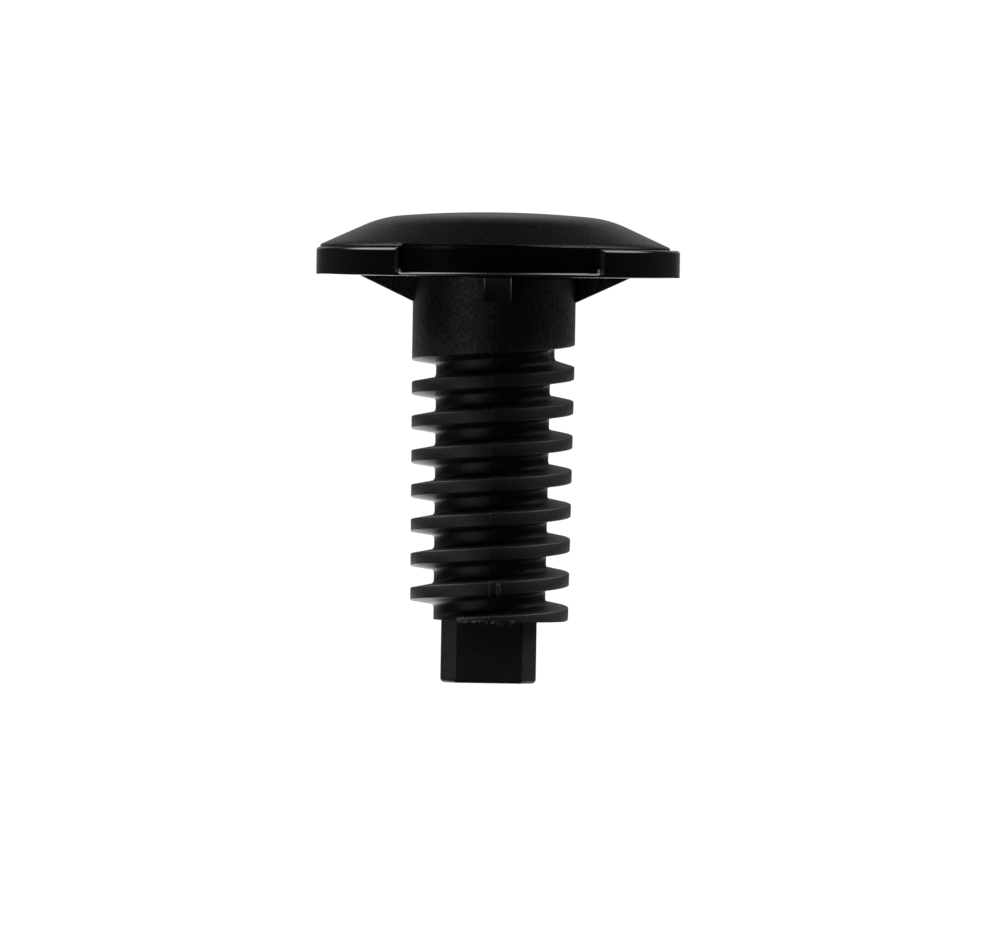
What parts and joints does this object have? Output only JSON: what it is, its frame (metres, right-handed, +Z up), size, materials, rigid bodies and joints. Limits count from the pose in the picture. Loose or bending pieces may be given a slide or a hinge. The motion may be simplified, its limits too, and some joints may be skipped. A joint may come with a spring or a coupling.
{
  "type": "leveling leg",
  "caption": "One-piece moulded leveling leg: domed round foot on a plain collar, coarse threaded shank and a square drive end.",
  "frame": {"origin": "centre of the square drive's end face, on the surface the leg stands on", "axes": "+Z up the shank to the foot's crown; -Y and +Y face the two recesses in the foot's rim"},
  "size_m": [0.038, 0.038, 0.0493],
  "materials": {
    "black_plastic": "satin black moulded plastic with a fine grain, matt on the dome"
  },
  "bodies": {
    "root": {"leveling_leg": "black_plastic"}
  },
  "joints": []
}
